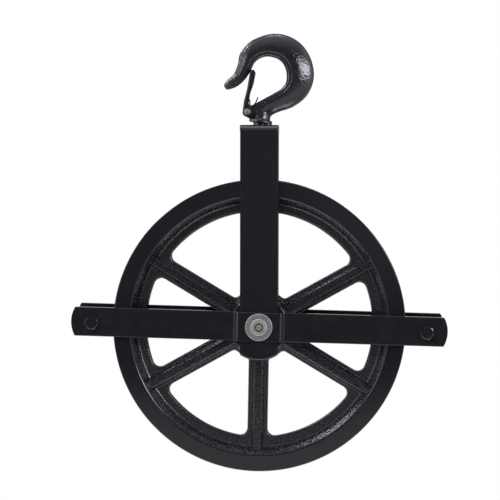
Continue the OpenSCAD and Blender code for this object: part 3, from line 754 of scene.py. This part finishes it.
def make_bolt_set(name, side, head_twist, nut_twist, finish):
    bm = bmesh.new()
    add_hex(bm, BOLT_AF, GUARD_LOW, GUARD_LOW + 5.3, head_twist, False, True)
    end = GUARD_LOW - 70
    turned(bm, [(0, GUARD_LOW + 0.5), (4, GUARD_LOW + 0.5)] + threaded_end(4, -GUARD_LOW - 1, end), 40)
    place_bolt(bm, side)
    made("bolt_" + name, bm, finish, "frame", "guard_bolt_" + name)
    top = -GUARD_LOW
    bm = bmesh.new()
    turned(bm, rounded([(4.2, top, 0), (8, top, 0.2), (8, top - 1.6, 0.35), (4.2, top - 1.6, 0.2)], 30), 48, closed=True)
    place_bolt(bm, side)
    made("washer_" + name, bm, finish, "frame", "guard_washer_" + name)
    bm = bmesh.new()
    add_hex(bm, BOLT_AF, top - 1.6 - 6.8, top - 1.6, nut_twist, True, True)
    place_bolt(bm, side)
    made("nut_" + name, bm, finish, "frame", "guard_nut_" + name)


def make_spacer(name, side, finish):
    bm = bmesh.new()
    turned(bm, rounded([(4.2, -LEG_IN, 0.3), (7, -LEG_IN, 0.4), (7, LEG_IN, 0.4), (4.2, LEG_IN, 0.3)], 30), 56, closed=True)
    place_bolt(bm, side)
    made("spacer_tube_" + name, bm, finish, "frame", "guard_spacer_" + name)


# ---------------------------------------------------------------- the hook
# Stations along the forging, from its tip round to its neck: x and height from the
# bowl's centre, half its depth in the plane, and half its thickness
HOOK_LINE = [
    (-42.3, -21.8, 2.1, 2.2), (-41.0, -20.6, 3.6, 3.3), (-37.5, -17.1, 5.4, 4.5),
    (-32.8, -12.8, 6.2, 5.5), (-28.9, -7.4, 6.6, 6.2), (-26.6, -1.6, 7.3, 6.7),
    (-24.9, 4.8, 7.8, 7.1), (-23.4, 12.9, 9.2, 7.8), (-18.2, 20.6, 10.2, 8.5),
    (-9.8, 26.2, 10.8, 9.0), (0.6, 29.2, 12.3, 9.6), (11.8, 28.5, 13.3, 10.0),
    (22.2, 23.3, 14.0, 10.2), (29.9, 13.8, 14.3, 10.4), (33.8, 1.6, 14.3, 10.5),
    (32.1, -11.1, 13.2, 10.4), (24.2, -21.8, 11.6, 10.0), (13.4, -29.2, 10.0, 9.4),
    (5.4, -34.8, 9.6, 9.0), (0.3, -40.7, 10.2, 8.4), (-0.2, -46.4, 9.6, 7.8), (-0.6, -50.6, 9.4, 7.6)
]


# The rim left by the forging dies on the hook's inner side: distance from that side in mm,
# and height as a share of the rim's own
HOOK_RIM = [
    (0, 0), (0.15, 0.3), (0.5, 0.5), (1.0, 0.66), (1.6, 0.8), (2.2, 0.91), (2.8, 0.98), (3.3, 1.0), (3.8, 1.0)]
# The shoulder above the rim: distance in mm, and share of the rest of the height
HOOK_SHOULDER = [(4.1, 0.15), (4.4, 0.5), (4.7, 0.8), (5.1, 0.94), (5.8, 1.0)]
# The body from the shoulder to the hook's outer side: share of the way, and of the height
HOOK_BODY = [
    (0.12, 0.995), (0.22, 0.98), (0.33, 0.95), (0.45, 0.878), (0.57, 0.79), (0.68, 0.695), (0.78, 0.59),
    (0.86, 0.485), (0.92, 0.37), (0.96, 0.26), (0.985, 0.15), (1.0, 0.0)]


def hook_section(station, along):
    """One section across the forging: a low rim on its inner side, then the full body."""
    x, z, depth, thick = station
    size = 0.45 + 0.55 * depth / 12
    low = 0.3 * thick + 0.6
    half = [(d * size - depth, low * v) for d, v in HOOK_RIM]
    half += [(d * size - depth, low + (thick - low) * v) for d, v in HOOK_SHOULDER]
    start = half[-1][0]
    half += [(start + (depth - start) * s, thick * v) for s, v in HOOK_BODY]
    ring = half + [(u, -v) for u, v in reversed(half[1:-1])]
    return [(x - u * along.y, v, BOWL_H + z + u * along.x) for u, v in ring]


def add_hook_body(bm):
    line = smooth_line(HOOK_LINE, 6)
    rings = []
    for i, station in enumerate(line):
        before = Vector(line[max(i - 1, 0)][:2])
        after = Vector(line[min(i + 1, len(line) - 1)][:2])
        rings.append(hook_section(station, (after - before).normalized()))
    loft(bm, rings)


def add_shank(bm):
    """Flange, collar and shank, turned about the hook's own axis."""
    turned(bm, rounded([
        (0, -25, 0), (6, -25, 0), (7, -24, 0), (7, -9, 0), (7.5, -8.4, 0), (7.5, 4.5, 0.6), (12.2, 4.5, 1.1),
        (12.2, 8.2, 1.6), (9.6, 9.2, 0.8), (9.0, 12.4, 0.8), (8.0, 16.5, 0), (0, 16.5, 0)
    ], 20, closed=False), 64)


def upright(bm, outline, half):
    """An outline in the hook's own plane, pulled out to both sides of it."""
    verts = block(bm, outline, -half, half)
    turn = Matrix.Rotation(math.radians(90), 3, "X")
    bmesh.ops.rotate(bm, verts=verts, cent=(0, 0, 0), matrix=turn)


def add_lug(bm):
    """The plate on the neck that carries the latch pin."""
    pin = LATCH_PIN
    upright(bm, [
        (pin.x - 3.4, pin.y - 3.8), (-11, 7.2), (0, 6.5), (9, 30.1), (5.5, 34.6), (pin.x + 0.3, pin.y + 5.2)
    ], 2.7)


def add_lug_eye(bm):
    upright(bm, arc(LATCH_PIN, 5.2, 0, 350, 35), 2.65)


def united(bodies):
    """Joins closed solids into one, with a crisp line where they meet."""
    first = None
    helpers = []
    for bm in bodies:
        tidy(bm)
        mesh = bpy.data.meshes.new("body")
        bm.to_mesh(mesh)
        bm.free()
        helper = bpy.data.objects.new("body", mesh)
        bpy.context.scene.collection.objects.link(helper)
        helpers.append(helper)
        if first:
            join = first.modifiers.new("join", "BOOLEAN")
            join.operation = "UNION"
            join.solver = "MANIFOLD"
            join.object = helper
        first = first or helper
    graph = bpy.context.evaluated_depsgraph_get()
    whole = bmesh.new()
    whole.from_mesh(first.evaluated_get(graph).to_mesh())
    for helper in helpers:
        mesh = helper.data
        bpy.data.objects.remove(helper)
        bpy.data.meshes.remove(mesh)
    return whole


def make_hook(finish):
    bodies = []
    for add in (add_hook_body, add_shank, add_lug_eye, add_lug):
        bodies.append(bmesh.new())
        add(bodies[-1])
    bm = united(bodies)
    place_at_hook(bm)
    made("hook_forging", bm, finish, "hook", "hook", 34)


def make_hook_nut(finish):
    """A castle nut: a hexagon with six teeth under it, and slots between them for the split pin."""
    bm = bmesh.new()
    low, root, top = -23.6, -18.2, -7.6
    add_hex(bm, HOOK_NUT_AF, root, top, 0, False, True)
    for k in range(6):
        tooth = [polar(a, r) for a, r in ((-19, 10.0), (0, HOOK_NUT_AF / 2), (19, 10.0), (15, 7.2), (-15, 7.2))]
        spin = Matrix.Rotation(math.radians(60 * k), 2)
        block(bm, [spin @ p for p in tooth], low, root + 0.5)
    place_at_hook(bm)
    made("hook_nut_castle", bm, finish, "hook", "hook_nut")


def make_split_pin(finish):
    """A split pin through shank and nut: an eye in front, and two legs bent apart behind."""
    bm = bmesh.new()
    for side in (1, -1):
        eye = arc((0, -14.2), 2.6, 270, 270 + side * 150, 10)
        tail = arc((side * 2.4, 9.6), 1.6, 180 if side > 0 else 0, 90, 4)
        points = [(p.x, p.y) for p in eye] + [(side * 0.8, -11.0), (side * 0.8, 9.0)]
        points += [(p.x, p.y) for p in tail] + [(side * 6.0, 11.2)]
        add_wire(bm, [Vector((x, y, 0)) for x, y in points], 0.75)
    bmesh.ops.translate(bm, verts=bm.verts, vec=(0, 0, -SPLIT_PIN_Z))
    place_at_hook(bm)
    made("split_pin_wire", bm, finish, "hook", "hook_split_pin")


# ---------------------------------------------------------------- the latch
def latch_outline(bend=0):
    """The latch's side, from its outer edge over the tip and back round the eye.

    The outer edge is drawn in by bend, to round the corner of the folded sheet.
    """
    x, z, top = LATCH_PIN.x, LATCH_PIN.y, LATCH_TOP
    edge = rounded([
        (x - 5.1 + bend, z + 1, 0), (x - 5.3 + bend, z + 10.6, 12), (x - 3.9 + bend, z + 23.6, 20),
        (x - 3.6 + bend, top - 3.2, 4), (x - 2.6 + bend, top, 0.6), (x + 0.7, top, 1.6), (x + 2.2, top - 2.4, 2),
        (x + 1.8, z + 30.6, 20), (x - 0.3, z + 19.5, 8), (x - 0.2, z + 9.5, 4), (x + 4.18, z + 2.92, 0)
    ], 10, closed=False)
    return edge + arc(LATCH_PIN, 5.1, 35, -165, 18)[1:]


def latch_back_edge():
    """The strip along the latch's outer edge that joins its two sides."""
    x, z, top = LATCH_PIN.x, LATCH_PIN.y, LATCH_TOP
    outer = [
        (x - 5.25, z + 11), (x - 4.6, z + 17), (x - 3.95, z + 23.6), (x - 3.65, z + 32), (x - 3.6, top - 3.2),
        (x - 2.6, top)]
    return outer + [(x - 1.1, top), (x - 2.1, top - 3.2), (x - 2.5, z + 23.6), (x - 3.9, z + 11)]


def make_latch(finish):
    bm = bmesh.new()
    inside = LATCH_HALF - LATCH_T
    parts = [(latch_back_edge(), 2 - LATCH_HALF, LATCH_HALF - 2)]
    for bend, down in ((0, 2.0), (0.1, 1.4), (0.35, 0.9), (0.75, 0.45), (1.3, 0.12), (2.0, 0)):
        parts.append((latch_outline(bend), inside, LATCH_HALF - down))
        parts.append((latch_outline(bend), down - LATCH_HALF, -inside))
    for outline, low, high in parts:
        verts = block(bm, outline, low, high)
        turn = Matrix.Rotation(math.radians(90), 3, "X")
        bmesh.ops.rotate(bm, verts=verts, cent=(0, 0, 0), matrix=turn)
    bm = forged("latch_fused", bm, 0.26, 4)
    place_at_hook(bm)
    made("latch_pressing", bm, finish, "latch", "latch", 180)


def make_latch_pin(finish):
    bm = bmesh.new()
    face = LATCH_HALF + 0.1
    dome = [(3.7 * math.cos(math.radians(a)), face + 1.9 * math.sin(math.radians(a))) for a in range(90, -1, -10)]
    profile = dome + [(2.42, face), (2.42, -face)] + [(r, -h) for r, h in reversed(dome)]
    turned(bm, profile, 40)
    stand_up(bm)
    bmesh.ops.translate(bm, verts=bm.verts, vec=(LATCH_PIN.x, 0, LATCH_PIN.y))
    place_at_hook(bm)
    made("latch_rivet", bm, finish, "hook", "latch_pin")


def spring_path():
    """The latch spring's wire about the pin: a leg, two coils, a bridge, and back again."""
    coil_r = 2.42 + 0.5 + 0.6
    inner, outer = 3.7, 6.4
    leg_a, sweep, steps = 134, 604, 48
    half = [(8.5, 17.0, inner), (7.8, 14.0, inner), (7.0, 11.0, inner), (5.4, 8.4, inner)]
    tangent = polar(leg_a, coil_r) + polar(leg_a - 90, 3.5)
    half.append((tangent.x, tangent.y, inner))
    for i in range(steps + 1):
        p = polar(leg_a + sweep * i / steps, coil_r)
        half.append((p.x, p.y, inner + (outer - inner) * i / steps))
    half += [(0.6, 12.0, outer), (-1.8, 16.8, outer), (-1.9, 17.8, outer - 1)]
    front = [Vector((x, -y, z)) for x, z, y in half]
    back = [Vector((x, y, z)) for x, z, y in reversed(half)]
    return front + back


def add_wire(bm, path, radius, sides=10):
    rings = []
    side = None
    for i, point in enumerate(path):
        along = (path[min(i + 1, len(path) - 1)] - path[max(i - 1, 0)]).normalized()
        if side is None:
            side = along.orthogonal().normalized()
        side = (side - along * side.dot(along)).normalized()
        up = along.cross(side)
        rings.append([
            point + radius * (math.cos(math.tau * k / sides) * side + math.sin(math.tau * k / sides) * up)
            for k in range(sides)])
    loft(bm, rings)


def make_latch_spring(finish):
    bm = bmesh.new()
    add_wire(bm, spring_path(), 0.5)
    bmesh.ops.translate(bm, verts=bm.verts, vec=(LATCH_PIN.x, 0, LATCH_PIN.y))
    place_at_hook(bm)
    spring = made("latch_spring_wire", bm, finish, None, "latch_spring")
    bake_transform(spring)


# ---------------------------------------------------------------- under the yoke
def make_swivel_washer(finish):
    bm = bmesh.new()
    turned(bm, rounded([(9.0, 200.9, 0.3), (16, 200.9, 0.4), (16, 203.9, 0.4), (9.0, 203.9, 0.3)], 30), 64, closed=True)
    made("swivel_ring", bm, finish, "swivel", "swivel_washer")


# ---------------------------------------------------------------- stage, light and camera
# The faintly blue white of whatever only shows as a reflection
COOL = (0.96, 0.975, 1.07)


def stage_material(name):
    material = bpy.data.materials.new(name)
    material.use_nodes = True
    tree = material.node_tree
    tree.nodes.clear()
    return material, tree


def make_floor():
    """A pale floor under the block that fades into the white surroundings."""
    bm = bmesh.new()
    bmesh.ops.create_circle(bm, cap_ends=True, radius=1.3, segments=96)
    bmesh.ops.translate(bm, verts=bm.verts, vec=(0, 0, -0.45))
    mesh = bpy.data.meshes.new("floor")
    bm.to_mesh(mesh)
    bm.free()
    floor = bpy.data.objects.new("floor", mesh)
    bpy.context.scene.collection.objects.link(floor)
    material, tree = stage_material("floor_white")
    new, link = tree.nodes.new, tree.links.new
    out = new("ShaderNodeOutputMaterial")
    mix = new("ShaderNodeMixShader")
    pale = new("ShaderNodeBsdfDiffuse")
    pale.inputs["Color"].default_value = (0.86, 0.86, 0.86, 1)
    clear = new("ShaderNodeBsdfTransparent")
    where = new("ShaderNodeTexCoord")
    split = new("ShaderNodeSeparateXYZ")
    flat = new("ShaderNodeCombineXYZ")
    length = new("ShaderNodeVectorMath")
    length.operation = "LENGTH"
    fade = new("ShaderNodeMapRange")
    fade.interpolation_type = "SMOOTHSTEP"
    fade.inputs["From Min"].default_value = 0.45
    fade.inputs["From Max"].default_value = 1.15
    link(where.outputs["Object"], split.inputs["Vector"])
    link(split.outputs["X"], flat.inputs["X"])
    link(split.outputs["Y"], flat.inputs["Y"])
    link(flat.outputs["Vector"], length.inputs[0])
    link(length.outputs["Value"], fade.inputs["Value"])
    link(fade.outputs["Result"], mix.inputs[0])
    link(pale.outputs["BSDF"], mix.inputs[1])
    link(clear.outputs["BSDF"], mix.inputs[2])
    link(mix.outputs["Shader"], out.inputs["Surface"])
    mesh.materials.append(material)


def make_world():
    """Plain light from all round, with white surroundings for the eye and for reflections."""
    world = bpy.data.worlds.new("studio")
    bpy.context.scene.world = world
    world.use_nodes = True
    tree = world.node_tree
    tree.nodes.clear()
    new, link = tree.nodes.new, tree.links.new
    out = new("ShaderNodeOutputWorld")
    mix = new("ShaderNodeMixShader")
    plain = new("ShaderNodeBackground")
    plain.inputs["Color"].default_value = (0.5, 0.5, 0.5, 1)
    plain.inputs["Strength"].default_value = 0.6
    white = new("ShaderNodeBackground")
    white.inputs["Color"].default_value = (1, 1, 1, 1)
    path = new("ShaderNodeLightPath")
    seen = new("ShaderNodeMath")
    seen.operation = "MAXIMUM"
    through = new("ShaderNodeMath")
    through.operation = "MAXIMUM"
    link(path.outputs["Is Camera Ray"], seen.inputs[0])
    link(path.outputs["Is Glossy Ray"], seen.inputs[1])
    link(seen.outputs["Value"], through.inputs[0])
    link(path.outputs["Is Transmission Ray"], through.inputs[1])
    link(through.outputs["Value"], mix.inputs[0])
    link(plain.outputs["Background"], mix.inputs[1])
    link(white.outputs["Background"], mix.inputs[2])
    link(mix.outputs["Shader"], out.inputs["Surface"])


def ease(tree, value, low, high, out_low=0.0, out_high=1.0):
    """A soft step of value between low and high."""
    step = tree.nodes.new("ShaderNodeMapRange")
    step.interpolation_type = "SMOOTHSTEP"
    for socket, number in zip(("From Min", "From Max", "To Min", "To Max"), (low, high, out_low, out_high)):
        step.inputs[socket].default_value = number
    tree.links.new(value, step.inputs["Value"])
    return step.outputs["Result"]


def blend_levels(tree, share, first, second):
    """first where share is 0, second where it is 1. Either may be a number or an output."""
    mix = tree.nodes.new("ShaderNodeMix")
    tree.links.new(share, mix.inputs["Factor"])
    for socket, value in ((mix.inputs["A"], first), (mix.inputs["B"], second)):
        if isinstance(value, float):
            socket.default_value = value
        else:
            tree.links.new(value, socket)
    return mix.outputs["Result"]


def tent_level(tree, where):
    """How bright the tent is: dark in front, lit at its sides and overhead, dim again behind."""
    front = tree.nodes.new("ShaderNodeValToRGB")
    stops = (
        (-0.49, 0.16), (-0.42, 0.10), (-0.31, 0.08), (-0.22, 0.20), (0.0, 0.24), (0.28, 0.24), (0.42, 0.15),
        (0.6, 0.16), (1.5, 0.2), (2.14, 0.6), (2.5, 0.95), (2.75, 1.25), (3.1, 1.5))
    ramp = front.color_ramp
    for height, level in stops:
        stop = ramp.elements.new((height + 0.6) / 3.8)
        stop.color = (level / 2, level / 2, level / 2, 1)
    ramp.elements.remove(ramp.elements[0])
    ramp.elements.remove(ramp.elements[-1])
    tree.links.new(ease_straight(tree, where["Z"], -0.6, 3.2), front.inputs["Fac"])
    double = tree.nodes.new("ShaderNodeMath")
    double.operation = "MULTIPLY"
    tree.links.new(front.outputs["Color"], double.inputs[0])
    double.inputs[1].default_value = 2
    outward = tree.nodes.new("ShaderNodeMath")
    outward.operation = "ABSOLUTE"
    tree.links.new(where["X"], outward.inputs[0])
    wings = blend_levels(tree, ease(tree, where["X"], -0.5, 0.5), 1.8, 1.7)
    sides = blend_levels(tree, ease(tree, outward.outputs["Value"], 1.6, 2.55), double.outputs["Value"], wings)
    return blend_levels(tree, ease(tree, where["Y"], 0.3, 0.9), sides, 0.32)


def ease_straight(tree, value, low, high):
    """value between low and high, as 0 to 1 along a straight line."""
    step = tree.nodes.new("ShaderNodeMapRange")
    for socket, number in zip(("From Min", "From Max"), (low, high)):
        step.inputs[socket].default_value = number
    tree.links.new(value, step.inputs["Value"])
    return step.outputs["Result"]


def make_tent():
    """A tent that only glossy surfaces see, open to the white below and behind."""
    bm = bmesh.new()
    bmesh.ops.create_uvsphere(bm, u_segments=48, v_segments=24, radius=3.2)
    mesh = bpy.data.meshes.new("tent")
    bm.to_mesh(mesh)
    bm.free()
    tent = bpy.data.objects.new("tent", mesh)
    bpy.context.scene.collection.objects.link(tent)
    material, tree = stage_material("tent_cloth")
    new, link = tree.nodes.new, tree.links.new
    where = new("ShaderNodeTexCoord")
    split = new("ShaderNodeSeparateXYZ")
    link(where.outputs["Object"], split.inputs["Vector"])
    glow = new("ShaderNodeEmission")
    glow.inputs["Color"].default_value = (*COOL, 1)
    link(tent_level(tree, split.outputs), glow.inputs["Strength"])
    gap = new("ShaderNodeMath")
    gap.operation = "MAXIMUM"
    link(ease(tree, split.outputs["Z"], -0.45, -0.55), gap.inputs[0])
    link(ease(tree, split.outputs["Y"], 2.7, 3.0), gap.inputs[1])
    clear = new("ShaderNodeBsdfTransparent")
    mix = new("ShaderNodeMixShader")
    out = new("ShaderNodeOutputMaterial")
    link(gap.outputs["Value"], mix.inputs[0])
    link(glow.outputs["Emission"], mix.inputs[1])
    link(clear.outputs["BSDF"], mix.inputs[2])
    link(mix.outputs["Shader"], out.inputs["Surface"])
    mesh.materials.append(material)
    tent.visible_camera = False
    tent.visible_diffuse = False
    tent.visible_shadow = False


def add_softbox(name, place, size, power, facing=(0, 0, 0.05), shows=True, lights=True):
    """A soft lamp. One may light the block without showing in its gloss, or only show there."""
    light = bpy.data.lights.new(name, "AREA")
    light.shape = "RECTANGLE"
    light.size, light.size_y = size
    light.energy = power
    if not lights:
        light.color = COOL
    lamp = bpy.data.objects.new(name, light)
    lamp.location = place
    lamp.rotation_mode = "QUATERNION"
    lamp.rotation_quaternion = (Vector(facing) - Vector(place)).to_track_quat("-Z", "Y")
    lamp.visible_camera = False
    lamp.visible_glossy = shows
    lamp.visible_diffuse = lights
    bpy.context.scene.collection.objects.link(lamp)


def add_camera():
    """The photograph's own view, fitted to the wheel, the bars and the hook."""
    distance, focal_px, frame_px = 1.86, 1767.0, 500
    centre = (259.5, 324.29)
    pitch, yaw, roll = (math.radians(a) for a in (2.82, -1.66, 0.09))
    turn = Matrix.Rotation(roll, 3, "Y") @ Matrix.Rotation(pitch, 3, "X") @ Matrix.Rotation(yaw, 3, "Z")
    across = (centre[0] - frame_px / 2) * distance / focal_px
    up = (frame_px / 2 - centre[1]) * distance / focal_px
    data = bpy.data.cameras.new("photo_camera")
    data.sensor_width = 36
    data.lens = focal_px / frame_px * data.sensor_width
    data.clip_start, data.clip_end = 0.1, 50
    camera = bpy.data.objects.new("photo_camera", data)
    place = turn.transposed() @ Vector((-across, -distance, -up))
    look = turn.transposed() @ Matrix.Rotation(math.radians(90), 3, "X")
    camera.matrix_world = Matrix.Translation(place) @ look.to_4x4()
    bpy.context.scene.collection.objects.link(camera)
    bpy.context.scene.camera = camera


def light_the_stage():
    make_floor()
    make_world()
    make_tent()
    add_softbox("top_box", (0.0, 0.0, 2.2), (0.9, 0.5), 7)
    add_softbox("upper_left_rim", (-1.1, 1.1, 1.25), (0.6, 0.6), 9.5)
    add_softbox("left_box", (-1.9, 0.1, 0.75), (0.6, 0.5), 3)
    add_softbox("lower_right_rim", (0.40, 0.43, -0.36), (0.25, 0.15), 0.07)
    add_softbox("front_fill", (-0.8, -2.2, 1.6), (1.5, 1.5), 63, shows=False)
    add_softbox("hook_rim", (-1.34, -0.4, 1.53), (0.25, 0.5), 10, lights=False)
    add_softbox("hook_left", (-1.54, -1.20, 0.62), (0.55, 0.4), 2.8, (0, 0, 0.28), lights=False)
    add_softbox("hook_right", (1.40, -1.36, 0.60), (1.15, 0.46), 26, (0, 0, 0.28), lights=False)
    add_softbox("under_box", (0.0, -0.25, -0.44), (0.9, 0.35), 3, (0, -0.25, 0), lights=False)
    add_softbox("upper_right_card", (0.40, -3.0, 0.12), (0.64, 0.5), 0.24, lights=False)


def make_block():
    cast, bar, bolt = cast_paint(), bar_paint(), bolt_paint()
    enamel, coat = hook_enamel(), latch_coat()
    zinc = zinc_plate("zinc_on_pin", 0.17, 0.31, 0.0084)
    dull_zinc = zinc_plate("zinc_on_washer", 0.105, 0.20, 0.0138)
    steel, brass = plain_steel(), nipple_brass()
    make_wheel(cast)
    make_bush(bush_bronze())
    make_axle(zinc, dull_zinc, brass, steel)
    make_yoke(bar)
    make_guard("front", 1, bar)
    make_guard("rear", -1, bar)
    make_bolt_set("left", -1, 0, 10, bolt)
    make_bolt_set("right", 1, -12, 25, bolt)
    make_spacer("left", -1, bar)
    make_spacer("right", 1, bar)
    make_hook(enamel)
    make_hook_nut(enamel)
    make_split_pin(steel)
    make_latch(coat)
    make_latch_pin(zinc_plate("zinc_on_rivet", 0.10, 0.19))
    make_latch_spring(spring_wire())
    make_swivel_washer(steel)


make_block()
light_the_stage()
add_camera()
bpy.context.scene.view_settings.view_transform = "Standard"
